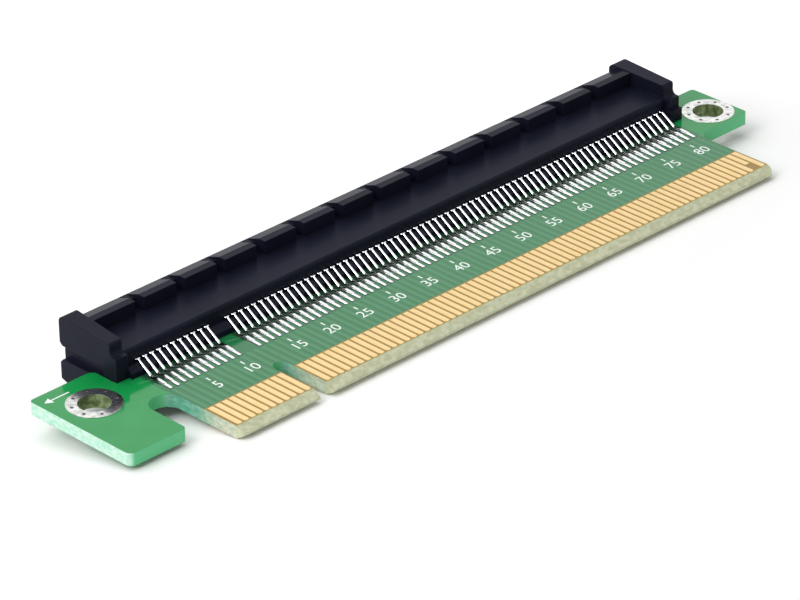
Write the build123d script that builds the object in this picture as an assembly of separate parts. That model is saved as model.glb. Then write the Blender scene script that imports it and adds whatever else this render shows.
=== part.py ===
from build123d import *
import math
import os

# A riser card: a short circuit board whose front tongue plugs into an expansion slot,
# with a slot of the same kind soldered astride its back edge for the card it carries.
#
# Frame, in millimetres: x runs along the card with x = 0 on the centre of the key notch,
# y runs from the tongue's front edge (y = 0) to the mouth of the slot behind,
# and z = 0 is the middle of the board's thickness, with the numbered side up.

# Pin rows: the same pins serve the tongue's fingers and the slot's contacts
pin_pitch = 1.0
pin_count_before_key = 11
pin_count_after_key = 71
pin_gap_at_key = 3.0

# Board outline
board_thickness = 1.57
board_depth = 17.5
tongue_side_margin = 0.65
tongue_corner_radius = 0.8
bevel_length = 1.1
bevel_depth = 0.64
key_notch_width = 1.9
key_notch_depth = 8.0
relief_slot_width = 3.9
relief_slot_end_setback = 5.65
left_tab_width = 7.9
left_tab_front = 4.55
right_tab_width = 8.7
right_tab_front_setback = 5.5
tab_back_reach = 3.35
tab_corner_radius = 0.5
left_tab_front_radius = 0.9
tab_inner_radius = 0.8
right_tab_root_radius = 1.4

# Plated mounting holes, one in each tab
hole_row_setback = 2.07
left_hole_from_tongue = 7.29
right_hole_from_tongue = 5.52
hole_radius = 1.85
ring_radius = 3.15
copper = 0.05

# Copper fingers on the tongue and solder pads for the slot's leads
finger_width = 0.7
finger_length = 4.75
finger_from_bevel = 0.05
detect_finger_setback = 1.6
detect_pin_bottom = 1
detect_pin_top_from_last = 1
pad_width = 0.56
pad_length = 3.75
pad_from_housing = 2.0

# Slot housing: heights are measured from the board's top face
end_beyond_pins_left = 3.45
end_beyond_pins_right = 2.55
board_clearance = 0.1
cutout_clearance = 0.05
housing_top = 4.6
housing_below_board = 2.33
floor_height = 2.87
floor_edge_radius = 0.4
lip_front_setback = 2.95
lip_flat = 1.0
lip_back_height = 3.9
lower_lip_length = 2.35
lower_lip_rise = 0.85
lip_notch_width = 1.3
lip_notch_pitch = 6.0
lip_notch_from_first_pin = 5.3
lip_pocket_depth = 1.6

# End walls and the bars that stand on them
end_wall_proud = 0.4
bar_width_front = 1.7
bar_width_back = 2.25
bar_front_setback = 0.98
bar_back_radius = 0.7
bar_root_radius = 0.6
end_block_reach = 0.73
bar_front_height = 4.4
bar_back_height = 4.85
bar_front_radius = 0.3
foot_width = 1.95
foot_reach = 1.25
foot_height = 1.5
groove_depth = 0.69
groove_width = 1.7
groove_from_front = 1.4
groove_flare = 0.4

# The ledge that lies on the board under the leads, its top sloped as they are
ledge_reach = 1.3
ledge_front_height = 0.65
ledge_height = 1.15
ledge_top_depth = 0.4

# Card slot and the chambers that hold its contacts
slot_above_board = 0.35
slot_width = 1.75
slot_depth = 7.5
slot_bottom_wall = 0.65
slot_end_clearance = 0.1
key_web_width = 1.75
mouth_flare = 0.35
mouth_flare_depth = 0.6
chamber_side_margin = 0.5
chamber_mouth_wall = 0.7
chamber_headroom = 0.25
chamber_tip_room = 0.45
lead_slit_clearance = 0.05

# Contacts: stamped strips, wide in the housing and narrow where they reach the pads
contact_thickness = 0.2
contact_width = 0.7
lead_width = 0.36
lead_exit_height = 1.5
head_reach = 0.4
foot_length = 2.2
foot_toe_margin = 1.05
crest_from_mouth = 1.8
crest_gap = 0.9
tip_length = 0.9
tip_rise = 0.4

# Places worked out from the sizes above
board_top = board_thickness / 2
first_pin_x = -pin_gap_at_key / 2 - (pin_count_before_key - 1) * pin_pitch
last_pin_x = pin_gap_at_key / 2 + (pin_count_after_key - 1) * pin_pitch
tongue_left = first_pin_x - tongue_side_margin
tongue_right = last_pin_x + tongue_side_margin
left_tab_inner = tongue_left - relief_slot_width
left_tab_outer = left_tab_inner - left_tab_width
right_tab_outer = tongue_right + right_tab_width
left_hole_x = tongue_left - left_hole_from_tongue
right_hole_x = tongue_right + right_hole_from_tongue
hole_row_y = board_depth - hole_row_setback
relief_slot_end = board_depth - relief_slot_end_setback
right_tab_front = board_depth - right_tab_front_setback
tab_back = board_depth + tab_back_reach

housing_left = first_pin_x - end_beyond_pins_left
housing_right = last_pin_x + end_beyond_pins_right
housing_front = board_depth + board_clearance
slot_bottom_y = housing_front + slot_bottom_wall
mouth_y = slot_bottom_y + slot_depth
end_wall_back = mouth_y + end_wall_proud
top_z = board_top + housing_top
bottom_z = -board_top - housing_below_board
floor_z = board_top + floor_height
slot_z = board_top + slot_above_board
slot_left = tongue_left - slot_end_clearance
slot_right = tongue_right + slot_end_clearance
lead_z = board_top + lead_exit_height
lip_front = mouth_y - lip_front_setback
lip_back_z = board_top + lip_back_height

finger_front = bevel_length + finger_from_bevel
finger_back = finger_front + finger_length
pad_back = housing_front - pad_from_housing
pad_front = pad_back - pad_length
foot_z = board_top + copper + contact_thickness / 2
pin_count = pin_count_before_key + pin_count_after_key
detect_pin_top = pin_count - detect_pin_top_from_last

# How far a cutting block runs on past the face it cuts
cut_overrun = 1.0


def pin_x(number):
    """The place of a pin along the card; the rows count from 1 at the left."""
    if number <= pin_count_before_key:
        return first_pin_x + (number - 1) * pin_pitch
    return pin_gap_at_key / 2 + (number - pin_count_before_key - 1) * pin_pitch


short_row = range(1, pin_count_before_key + 1)
long_row = range(pin_count_before_key + 1, pin_count + 1)


def box_between(x_span, y_span, z_span):
    """A block given by its low and high corner along each axis."""
    low = (min(x_span), min(y_span), min(z_span))
    high = (max(x_span), max(y_span), max(z_span))
    size = [b - a for a, b in zip(low, high)]
    centre = [(a + b) / 2 for a, b in zip(low, high)]
    return Pos(*centre) * Box(*size)


def side_prism(points, x_span):
    """A prism along x whose end face has the given (y, z) corners."""
    face = Plane.YZ * make_face(Polyline(*points, close=True))
    return Pos(min(x_span), 0, 0) * extrude(face, max(x_span) - min(x_span), dir=(1, 0, 0))


def plan_prism(points, z_span):
    """A prism along z whose plan has the given (x, y) corners."""
    face = make_face(Polyline(*points, close=True))
    return Pos(0, 0, min(z_span)) * extrude(face, max(z_span) - min(z_span), dir=(0, 0, 1))


def rounded_corner(face, corner, radius):
    """Round the one corner of a flat face that lies nearest to a point."""
    vertex = face.vertices().sort_by_distance(Vector(*corner))[0]
    return fillet(vertex, radius)


def strip_outline(centre_line, thickness):
    """Corners of a bent strip of even thickness, mitred at each bend of its centre line."""
    points = [Vector(*p) for p in centre_line]
    headings = [(b - a).normalized() for a, b in zip(points, points[1:])]
    sides = []
    for i, point in enumerate(points):
        before = headings[max(i - 1, 0)]
        after = headings[min(i, len(headings) - 1)]
        middle = (before + after).normalized()
        across = Vector(-middle.Y, middle.X)
        half = thickness / 2 / middle.dot(after)
        sides.append((point + across * half, point - across * half))
    outline = [left for left, right in sides] + [right for left, right in reversed(sides)]
    return [(p.X, p.Y) for p in outline]


# Board


def board_outline():
    relief_centre_y = relief_slot_end - relief_slot_width / 2
    cutout_left = housing_left - cutout_clearance
    cutout_right = housing_right + cutout_clearance
    corners = [
        (left_tab_outer, left_tab_front),
        (left_tab_inner, left_tab_front),
        (left_tab_inner, relief_centre_y),
        (tongue_left, relief_centre_y),
        (tongue_left, 0),
        (tongue_right, 0),
        (tongue_right, right_tab_front),
        (right_tab_outer, right_tab_front),
        (right_tab_outer, tab_back),
        (cutout_right, tab_back),
        (cutout_right, board_depth),
        (cutout_left, board_depth),
        (cutout_left, tab_back),
        (left_tab_outer, tab_back),
    ]
    rounded = [
        (corners[0], left_tab_front_radius),
        (corners[1], tab_corner_radius),
        (corners[4], tongue_corner_radius),
        (corners[5], tongue_corner_radius),
        (corners[6], right_tab_root_radius),
        (corners[7], tab_corner_radius),
        (corners[8], tab_corner_radius),
        (corners[9], tab_inner_radius),
        (corners[12], tab_inner_radius),
        (corners[13], tab_corner_radius),
    ]
    outline = make_face(Polyline(*corners, close=True))
    for corner, radius in rounded:
        outline = rounded_corner(outline, corner, radius)

    relief_round = Pos((left_tab_inner + tongue_left) / 2, relief_centre_y) * Circle(relief_slot_width / 2)
    key_straight = key_notch_depth - key_notch_width / 2
    key_notch = Pos(0, key_straight / 2) * Rectangle(key_notch_width, key_straight)
    key_round = Pos(0, key_straight) * Circle(key_notch_width / 2)
    holes = [Pos(x, hole_row_y) * Circle(hole_radius + copper) for x in (left_hole_x, right_hole_x)]
    return outline - relief_round - key_notch - key_round - holes[0] - holes[1]


def circuit_board():
    board = Pos(0, 0, -board_top) * extrude(board_outline(), board_thickness, dir=(0, 0, 1))
    tongue_span = (tongue_left - cut_overrun, tongue_right + cut_overrun)
    bevel_top = [(0, board_top), (bevel_length, board_top), (0, board_top - bevel_depth)]
    bevel_bottom = [(y, -z) for y, z in bevel_top]
    return board - side_prism(bevel_top, tongue_span) - side_prism(bevel_bottom, tongue_span)


def mounting_ring(hole_x):
    """The copper of a plated hole: a barrel through the board with a ring on each face."""
    outer_z = board_top + copper
    profile = [
        (hole_radius, -outer_z),
        (ring_radius, -outer_z),
        (ring_radius, -board_top),
        (hole_radius + copper, -board_top),
        (hole_radius + copper, board_top),
        (ring_radius, board_top),
        (ring_radius, outer_z),
        (hole_radius, outer_z),
    ]
    section = Plane.XZ * make_face(Polyline(*profile, close=True))
    return Pos(hole_x, hole_row_y, 0) * revolve(section, Axis.Z)


def copper_patch(x, width, y_span, side):
    """A flat of copper on the board's top face (side 1) or bottom face (side -1)."""
    z_span = (side * board_top, side * (board_top + copper))
    return box_between((x - width / 2, x + width / 2), y_span, z_span)


def finger(number, side):
    return copper_patch(pin_x(number), finger_width, (finger_front, finger_back), side)


def detect_finger(number, side):
    """The one finger of a face that stops short of the edge, so it makes contact last."""
    front = finger_front + detect_finger_setback
    return copper_patch(pin_x(number), finger_width, (front, finger_back), side)


def solder_pad(number, side):
    return copper_patch(pin_x(number), pad_width, (pad_front, pad_back), side)


# Contacts


def contact_line(side):
    """Centre line of a contact, from the toe of its foot to the tip in the slot, as (y, z).

    side is 1 for the row on the board's top face and -1 for the row below.
    """
    toe_y = pad_front + foot_toe_margin
    heel_y = toe_y + foot_length
    crest_y = mouth_y - crest_from_mouth
    crest_z = slot_z + side * (crest_gap + contact_thickness) / 2
    return [
        (toe_y, side * foot_z),
        (heel_y, side * foot_z),
        (housing_front - head_reach, side * lead_z),
        (crest_y, crest_z),
        (crest_y + tip_length, crest_z + side * tip_rise),
    ]


def contact(side):
    """One contact at x = 0: a narrow lead outside the housing, and a wide strip inside it."""
    outline = strip_outline(contact_line(side), contact_thickness)
    toe_heel_head = [outline[i] for i in (0, 1, 2, 7, 8, 9)]
    head_crest_tip = outline[2:8]
    lead = Plane.YZ * make_face(Polyline(*toe_heel_head, close=True))
    strip = Plane.YZ * make_face(Polyline(*head_crest_tip, close=True))
    return extrude(lead, lead_width / 2, both=True) + extrude(strip, contact_width / 2, both=True)


# Slot housing


def body_profile():
    """The section of the housing between its end walls, as (y, z) corners."""
    return [
        (housing_front, bottom_z),
        (mouth_y - lower_lip_length, bottom_z),
        (mouth_y, bottom_z + lower_lip_rise),
        (mouth_y, lip_back_z),
        (lip_front + lip_flat, top_z),
        (lip_front, top_z),
        (lip_front, floor_z),
        (housing_front, floor_z),
    ]


def housing_body():
    body = side_prism(body_profile(), (housing_left, housing_right))
    front_edge = body.edges().filter_by(Axis.X).sort_by_distance(Vector(0, housing_front, floor_z))[0]
    return fillet(front_edge, floor_edge_radius)


def ledge(side, x_span):
    """The housing's ledge on the board's top face (side 1) or bottom face (side -1)."""
    profile = [
        (housing_front, board_top),
        (housing_front - ledge_reach, board_top),
        (housing_front - ledge_reach, board_top + ledge_front_height),
        (housing_front - ledge_top_depth, board_top + ledge_height),
        (housing_front, board_top + ledge_height),
    ]
    return side_prism([(y, side * z) for y, z in profile], x_span)


def end_wall(outer_x, inward):
    """An end wall with its standing bar and its block over the board.

    inward is +1 at the left end and -1 at the right end.
    """
    bar_front = housing_front - end_block_reach + bar_front_setback
    bar_front_z = board_top + bar_front_height
    bar_back_z = board_top + bar_back_height
    inner_front = outer_x + inward * bar_width_front
    inner_back = outer_x + inward * bar_width_back
    x_span = (outer_x, inner_back)
    plan = [
        (outer_x, housing_front),
        (inner_front, housing_front),
        (inner_back, end_wall_back),
        (outer_x, end_wall_back),
    ]
    wall = plan_prism(plan, (bottom_z, bar_back_z))

    # The bar stands back from the front of the block, and its top rises towards the mouth
    wall -= box_between(x_span, (housing_front, bar_front), (floor_z, bar_back_z))
    above = [
        (bar_front, bar_front_z),
        (end_wall_back, bar_back_z),
        (end_wall_back, bar_back_z + cut_overrun),
        (bar_front, bar_back_z + cut_overrun),
    ]
    wall -= side_prism(above, x_span)
    for y, z, radius in ((end_wall_back, bar_back_z, bar_back_radius), (bar_front, bar_front_z, bar_front_radius)):
        edge = wall.edges().filter_by(Axis.X).sort_by_distance(Vector(outer_x, y, z))[0]
        wall = fillet(edge, radius)

    # A hollow round joins the bar to the block
    root_y = bar_front - bar_root_radius
    root_z = floor_z + bar_root_radius
    root = box_between((outer_x, inner_front), (root_y, bar_front), (floor_z, root_z))
    hollow = Pos(outer_x, root_y, root_z) * Rotation(0, 90, 0) * Cylinder(
        bar_root_radius, 4 * bar_width_back
    )
    wall += root - hollow

    block_front = housing_front - end_block_reach
    wall += box_between((outer_x, inner_front), (block_front, housing_front), (board_top, floor_z))

    # The lower edge slopes up towards the mouth, as the body's does
    slope = lower_lip_rise / lower_lip_length
    reach = end_wall_proud + cut_overrun
    under = [
        (mouth_y - lower_lip_length, bottom_z),
        (mouth_y + reach, bottom_z),
        (mouth_y + reach, bottom_z + lower_lip_rise + slope * reach),
    ]
    return wall - side_prism(under, x_span)


def end_groove(outer_x, inward):
    """The guide groove in an end face, in line with the card slot and flared at the mouth."""
    x_span = (outer_x, outer_x + inward * groove_depth)
    half = groove_width / 2
    groove_start = housing_front + groove_from_front
    points = [
        (groove_start, slot_z - half),
        (end_wall_back - groove_flare, slot_z - half),
        (end_wall_back, slot_z - half - groove_flare),
        (end_wall_back, slot_z + half + groove_flare),
        (end_wall_back - groove_flare, slot_z + half),
        (groove_start, slot_z + half),
    ]
    return side_prism(points, x_span)


def slot_section(x_span, first_pin, last_pin):
    """What is cut for the pins on one side of the key: slot, flared mouth, chambers and slits."""
    half = slot_width / 2
    flared = half + mouth_flare
    profile = [
        (slot_bottom_y, slot_z - half),
        (mouth_y - mouth_flare_depth, slot_z - half),
        (mouth_y, slot_z - flared),
        (end_wall_back, slot_z - flared),
        (end_wall_back, slot_z + flared),
        (mouth_y, slot_z + flared),
        (mouth_y - mouth_flare_depth, slot_z + half),
        (slot_bottom_y, slot_z + half),
    ]
    cut = side_prism(profile, x_span)

    # The chambers and the slits lie along the contacts' strips
    pins_span = (pin_x(first_pin) - chamber_side_margin, pin_x(last_pin) + chamber_side_margin)
    chamber_back = mouth_y - chamber_mouth_wall
    for side in (1, -1):
        (head_y, head_z), (crest_y, crest_z) = contact_line(side)[2:4]
        strip_slope = (crest_z - head_z) / (crest_y - head_y)
        half_strip = contact_thickness / 2 * math.hypot(1, strip_slope)

        def strip_z(y, offset):
            return head_z + strip_slope * (y - head_y) + offset

        outer = side * (half_strip + chamber_headroom)
        chamber = [
            (slot_bottom_y, slot_z),
            (slot_bottom_y, strip_z(slot_bottom_y, outer)),
            (chamber_back, slot_z + side * (half + chamber_tip_room)),
            (chamber_back, slot_z),
        ]
        cut += side_prism(chamber, pins_span)
        slit_half = half_strip + lead_slit_clearance
        slit = [
            (housing_front, strip_z(housing_front, -slit_half)),
            (housing_front, strip_z(housing_front, slit_half)),
            (slot_bottom_y, strip_z(slot_bottom_y, slit_half)),
            (slot_bottom_y, strip_z(slot_bottom_y, -slit_half)),
        ]
        cut += side_prism(slit, pins_span)
    return cut


def lip_notches():
    """Cuts in the raised lip, evenly spaced as far as the right end wall's bar.

    Each is level right through the lip, with a deeper pocket in its front part.
    """
    cuts = []
    notch_left = first_pin_x + lip_notch_from_first_pin - lip_notch_width / 2
    while notch_left + lip_notch_width < housing_right - bar_width_back:
        x_span = (notch_left, notch_left + lip_notch_width)
        cuts.append(box_between(x_span, (lip_front, mouth_y), (lip_back_z, top_z)))
        pocket_y = (lip_front, lip_front + lip_pocket_depth)
        cuts.append(box_between(x_span, pocket_y, (floor_z, lip_back_z)))
        notch_left += lip_notch_pitch
    return cuts


def connector_housing():
    housing = housing_body()
    housing += end_wall(housing_left, 1)
    housing += end_wall(housing_right, -1)
    for side in (1, -1):
        housing += ledge(side, (housing_left + bar_width_front, housing_right - bar_width_front))
    foot_span = (housing_right - foot_width, housing_right)
    foot_y = (housing_front - foot_reach, housing_front)
    housing += box_between(foot_span, foot_y, (board_top, board_top + foot_height))
    housing -= end_groove(housing_left, 1)
    housing -= end_groove(housing_right, -1)
    for notch in lip_notches():
        housing -= notch
    key_half = key_web_width / 2
    housing -= slot_section((slot_left, -key_half), 1, pin_count_before_key)
    housing -= slot_section((key_half, slot_right), pin_count_before_key + 1, pin_count)
    return housing


# Groups of like pieces, each exported as one file of separate solids


def row_of(make_piece, numbers, side):
    return Compound(children=[make_piece(number, side) for number in numbers])


def row_of_contacts(numbers, side):
    one = contact(side)
    return Compound(children=[Pos(pin_x(number), 0, 0) * one for number in numbers])


def without(numbers, left_out):
    return [number for number in numbers if number != left_out]


def build_all():
    top, bottom = 1, -1
    return {
        "circuit_board": circuit_board(),
        "mounting_ring_left": mounting_ring(left_hole_x),
        "mounting_ring_right": mounting_ring(right_hole_x),
        "edge_fingers_top_short_row": row_of(finger, without(short_row, detect_pin_top), top),
        "edge_fingers_top_long_row": row_of(finger, without(long_row, detect_pin_top), top),
        "edge_fingers_bottom_short_row": row_of(finger, without(short_row, detect_pin_bottom), bottom),
        "edge_fingers_bottom_long_row": row_of(finger, without(long_row, detect_pin_bottom), bottom),
        "detect_finger_top": detect_finger(detect_pin_top, top),
        "detect_finger_bottom": detect_finger(detect_pin_bottom, bottom),
        "solder_pads_top_short_row": row_of(solder_pad, short_row, top),
        "solder_pads_top_long_row": row_of(solder_pad, long_row, top),
        "solder_pads_bottom_short_row": row_of(solder_pad, short_row, bottom),
        "solder_pads_bottom_long_row": row_of(solder_pad, long_row, bottom),
        "connector_housing": connector_housing(),
        "contacts_top_short_row": row_of_contacts(short_row, top),
        "contacts_top_long_row": row_of_contacts(long_row, top),
        "contacts_bottom_short_row": row_of_contacts(short_row, bottom),
        "contacts_bottom_long_row": row_of_contacts(long_row, bottom),
    }


os.makedirs("parts", exist_ok=True)
for name, shape in build_all().items():
    export_step(shape, f"parts/{name}.step")
    print(name, len(shape.solids()), "solids", round(shape.volume, 2), "mm3")
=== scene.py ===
# %% [markdown]
# # A riser card, built in cells
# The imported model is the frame: it holds every rigid piece at its real place and size. This
# script dresses it. The plain solids that are already right get a finish, and the pieces whose
# look depends on fine form (leads, solder, plated rings, the walls between contacts) are made
# here in detail and stand in for the plain ones.

import math

import bmesh
import bpy
from mathutils import Matrix, Quaternion, Vector


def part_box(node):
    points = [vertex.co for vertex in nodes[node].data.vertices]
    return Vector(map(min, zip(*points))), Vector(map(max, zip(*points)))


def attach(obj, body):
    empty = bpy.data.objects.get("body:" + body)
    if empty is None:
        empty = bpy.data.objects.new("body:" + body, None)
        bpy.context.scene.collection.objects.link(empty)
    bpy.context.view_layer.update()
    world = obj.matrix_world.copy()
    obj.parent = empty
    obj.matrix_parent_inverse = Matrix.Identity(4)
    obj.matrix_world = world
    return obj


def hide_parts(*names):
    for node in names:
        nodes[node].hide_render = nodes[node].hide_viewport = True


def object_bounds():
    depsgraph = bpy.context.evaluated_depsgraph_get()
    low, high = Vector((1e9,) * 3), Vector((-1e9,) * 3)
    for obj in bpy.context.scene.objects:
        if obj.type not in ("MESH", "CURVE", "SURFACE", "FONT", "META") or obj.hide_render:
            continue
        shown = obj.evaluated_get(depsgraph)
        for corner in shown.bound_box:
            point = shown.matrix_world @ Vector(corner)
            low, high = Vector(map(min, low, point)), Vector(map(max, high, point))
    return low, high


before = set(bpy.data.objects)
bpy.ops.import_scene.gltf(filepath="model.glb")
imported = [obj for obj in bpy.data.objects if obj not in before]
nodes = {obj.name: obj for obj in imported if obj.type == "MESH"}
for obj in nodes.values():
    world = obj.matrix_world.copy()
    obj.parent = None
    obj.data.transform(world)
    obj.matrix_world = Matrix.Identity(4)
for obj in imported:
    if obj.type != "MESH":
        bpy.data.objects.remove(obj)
cad_low, cad_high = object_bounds()
mm = 0.001
print("nodes:", len(nodes), "box in mm:", [round(c / mm, 2) for c in (*cad_low, *cad_high)])

# %% [markdown]
# ## Camera
# The camera comes first, because every later choice is judged through it. A long lens far away
# gives the near-parallel lines of a catalogue picture. Its place, heading and roll are real
# values: where it stands, how far round it is turned and how far it looks down.

# %% Camera
camera_place = Vector((-290.2, -310.9, 243.4)) * mm
camera_heading = math.radians(44.10)
camera_dip = math.radians(28.62)
camera_roll = math.radians(-0.92)
camera_lens = 206.3

camera_data = bpy.data.cameras.new("camera")
camera_data.lens = camera_lens
camera_data.sensor_width = 36
camera_data.clip_start = 0.01
camera_data.clip_end = 20
camera = bpy.data.objects.new("camera", camera_data)
bpy.context.scene.collection.objects.link(camera)
bpy.context.scene.camera = camera

ahead = Vector((
    math.cos(camera_dip) * math.sin(camera_heading),
    math.cos(camera_dip) * math.cos(camera_heading),
    -math.sin(camera_dip),
))
camera.rotation_mode = "QUATERNION"
camera.rotation_quaternion = ahead.to_track_quat("-Z", "Y") @ Quaternion((0, 0, 1), camera_roll)
camera.location = camera_place
print("camera looks along", [round(c, 3) for c in ahead])

# %% [markdown]
# ## Shader maths as Python
# A finish is a small graph of nodes. Written out node by node it is hard to read, so one class
# wraps a socket and overloads the arithmetic operators: an expression on values then adds the
# Math nodes by itself. Every other node comes from one method that takes the node's type, its
# settings and its inputs.

# %% One way to add a node
def add_node(tree, kind, settings=None, inputs=None):
    """Add a node to a tree: its settings first, then the value or the link of each socket."""
    made = tree.nodes.new(kind)
    for key, value in (settings or {}).items():
        setattr(made, key, value)
    for key, value in (inputs or {}).items():
        if isinstance(value, bpy.types.NodeSocket):
            tree.links.new(value, made.inputs[key])
        else:
            made.inputs[key].default_value = value
    return made


print("node helper ready:", add_node.__name__)

# %% Finish helper
class Wire:
    """One output socket; arithmetic on it adds Math nodes to its finish."""

    def __init__(self, finish, socket):
        self.finish = finish
        self.socket = socket

    def math(self, operation, *others, first=None):
        """Add a Math node on this value and the others, or on a first value and this one."""
        values = (self, *others) if first is None else (first, self)
        return self.finish.node("ShaderNodeMath", {"operation": operation}, dict(enumerate(values)))

    def __add__(self, other):
        return self.math("ADD", other)

    def __sub__(self, other):
        return self.math("SUBTRACT", other)

    def __rsub__(self, other):
        return self.math("SUBTRACT", first=other)

    def __mul__(self, other):
        return self.math("MULTIPLY", other)

    def __truediv__(self, other):
        return self.math("DIVIDE", other)

    __radd__ = __add__
    __rmul__ = __mul__

    def abs(self):
        """The value without its sign."""
        return self.math("ABSOLUTE")

    def step(self, low, high):
        """0 below low and 1 above high, with a smooth climb between; swap them to fall."""
        span = {"From Min": low, "From Max": high, "Value": self}
        return self.finish.node("ShaderNodeMapRange", {"interpolation_type": "SMOOTHSTEP"}, span)

    def band(self, low, high, soft):
        """1 between low and high, 0 outside, with soft edges."""
        return self.step(low - soft, low + soft) * self.step(high + soft, high - soft)


class Finish:
    """A material with one Principled BSDF, built from expressions."""

    def __init__(self, name, **constants):
        self.material = bpy.data.materials.new(name)
        self.material.use_nodes = True
        self.tree = self.material.node_tree
        self.shader = next(n for n in self.tree.nodes if n.type == "BSDF_PRINCIPLED")
        for socket_name, value in constants.items():
            self.set(socket_name.replace("_", " "), value)
        place = self.node("ShaderNodeTexCoord", output="Object")
        self.place = self.node("ShaderNodeVectorMath", {"operation": "SCALE"},
                               {0: place, "Scale": 1 / mm})
        self.x, self.y, self.z = (
            self.node("ShaderNodeSeparateXYZ", inputs={0: self.place}, output=i) for i in range(3)
        )

    def node(self, kind, settings=None, inputs=None, output=0):
        """Add a node and return one of its outputs as a wire."""
        plain = {key: value.socket if isinstance(value, Wire) else value
                 for key, value in (inputs or {}).items()}
        return Wire(self, add_node(self.tree, kind, settings, plain).outputs[output])

    def set(self, socket_name, value):
        """Give a socket of the shader a constant or a wire."""
        if isinstance(value, Wire):
            self.tree.links.new(value.socket, self.shader.inputs[socket_name])
        else:
            self.shader.inputs[socket_name].default_value = value

    def mix(self, factor, first, second):
        """Blend two colours: the first where the factor is 0, the second where it is 1."""
        return self.node("ShaderNodeMix", {"data_type": "RGBA"}, {0: factor, 6: first, 7: second}, 2)

    def noise(self, scale, detail=3.0, stretch=(1, 1, 1)):
        """Soft random pattern; scale is in cycles per millimetre, stretch is per axis."""
        place = self.node("ShaderNodeVectorMath", {"operation": "MULTIPLY"},
                          {0: self.place, 1: stretch})
        sockets = {"Vector": place, "Scale": scale, "Detail": detail}
        return self.node("ShaderNodeTexNoise", inputs=sockets)

    def bump(self, height, distance, strength=1.0):
        """Tilt the surface by a height field; distance is the height's size in metres."""
        sockets = {"Height": height, "Distance": distance, "Strength": strength}
        self.set("Normal", self.node("ShaderNodeBump", inputs=sockets))


def colour(red, green, blue):
    """A colour as seen on screen, 0 to 255, turned into the linear values a socket takes."""
    def linear(value):
        value /= 255
        return value / 12.92 if value <= 0.04045 else ((value + 0.055) / 1.055) ** 2.4
    return (linear(red), linear(green), linear(blue), 1.0)


def dress(node_name, finish):
    """Give a carried-over solid its finish."""
    node = nodes[node_name]
    node.data.materials.clear()
    node.data.materials.append(finish.material)


print("screen grey 128 in linear light:", round(colour(128, 128, 128)[0], 3))

# %% [markdown]
# ## Light, backdrop and floor
# Catalogue pictures of boards stand in a white tent: light comes from all round, with one large
# soft source above and behind that puts a sheen on flat plastic. The world is plain white for the
# camera and for reflections, and dimmer as a light, so a colour renders about as it is written.
# The floor is part light of its own, more so away from the card, so it runs into the white
# background without an edge and still takes the card's soft shadow.

# %% World and lamps
world_light = 0.45
world = bpy.data.worlds.new("tent")
world.use_nodes = True
bpy.context.scene.world = world
world_tree = world.node_tree
background = world_tree.nodes["Background"]
background.inputs["Color"].default_value = (1.0, 1.0, 1.0, 1.0)
ray = add_node(world_tree, "ShaderNodeLightPath").outputs
seen = ray["Is Camera Ray"]
for kind in ("Is Glossy Ray", "Is Transmission Ray"):
    either = add_node(world_tree, "ShaderNodeMath", {"operation": "MAXIMUM"}, {0: seen, 1: ray[kind]})
    seen = either.outputs[0]
level = add_node(world_tree, "ShaderNodeMapRange", inputs={
    "Value": seen,
    "To Min": world_light,
    "To Max": 1.0,
})
world_tree.links.new(level.outputs[0], background.inputs["Strength"])
print("world as a light:", world_light)


def softbox(name, place, target, size, power):
    """A square area lamp that faces a target; places in metres, power in watts."""
    lamp_data = bpy.data.lights.new(name, "AREA")
    lamp_data.shape = "SQUARE"
    lamp_data.size = size
    lamp_data.energy = power
    lamp = bpy.data.objects.new(name, lamp_data)
    bpy.context.scene.collection.objects.link(lamp)
    lamp.location = place
    lamp.rotation_mode = "QUATERNION"
    lamp.rotation_quaternion = (Vector(target) - Vector(place)).to_track_quat("-Z", "Y")


middle = (cad_low + cad_high) / 2
lamps = {
    "overhead_softbox": {"from_middle": (-0.08, 0.34, 0.47), "size": 0.7, "power": 1.9},
    "left_softbox": {"from_middle": (-0.47, 0.02, 0.40), "size": 0.35, "power": 1.8},
}
for name, lamp in lamps.items():
    softbox(name, middle + Vector(lamp["from_middle"]), middle, lamp["size"], lamp["power"])
bpy.context.scene.view_settings.view_transform = "Standard"
print("lamps aim at", [round(c / mm, 1) for c in middle])

# %% Floor
own_light_near, own_light_far = 0.02, 0.3
# That light climbs between two reaches; reach 1 is an oval this many millimetres outside the card
round_card = 15.0
near_reach, far_reach = 0.8, 1.5
floor_grey = 0.95
housing_foot_y = 17.6
under_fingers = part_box("edge_fingers_bottom_long_row")[0]
tongue_underedge = Vector((0.0, under_fingers.y, under_fingers.z))
housing_underedge = Vector((0.0, housing_foot_y * mm, cad_low.z))
floor_slope = (tongue_underedge.z - housing_underedge.z) / (tongue_underedge.y - housing_underedge.y)
floor_gap = 0.02 * mm
floor_reach = {"x": (-0.10, 0.16), "y": (-0.03, 0.13)}


def floor_z(y):
    """The card rests on its tongue's lower edge and on the housing's, so the floor joins them."""
    return housing_underedge.z + floor_slope * (y - housing_underedge.y) - floor_gap


floor_corners = [(x, y, floor_z(y)) for x, y in (
    (floor_reach["x"][0], floor_reach["y"][0]),
    (floor_reach["x"][1], floor_reach["y"][0]),
    (floor_reach["x"][1], floor_reach["y"][1]),
    (floor_reach["x"][0], floor_reach["y"][1]),
)]
floor_mesh = bpy.data.meshes.new("floor")
floor_mesh.from_pydata(floor_corners, [], [(0, 1, 2, 3)])
floor = bpy.data.objects.new("floor", floor_mesh)
bpy.context.scene.collection.objects.link(floor)


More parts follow.
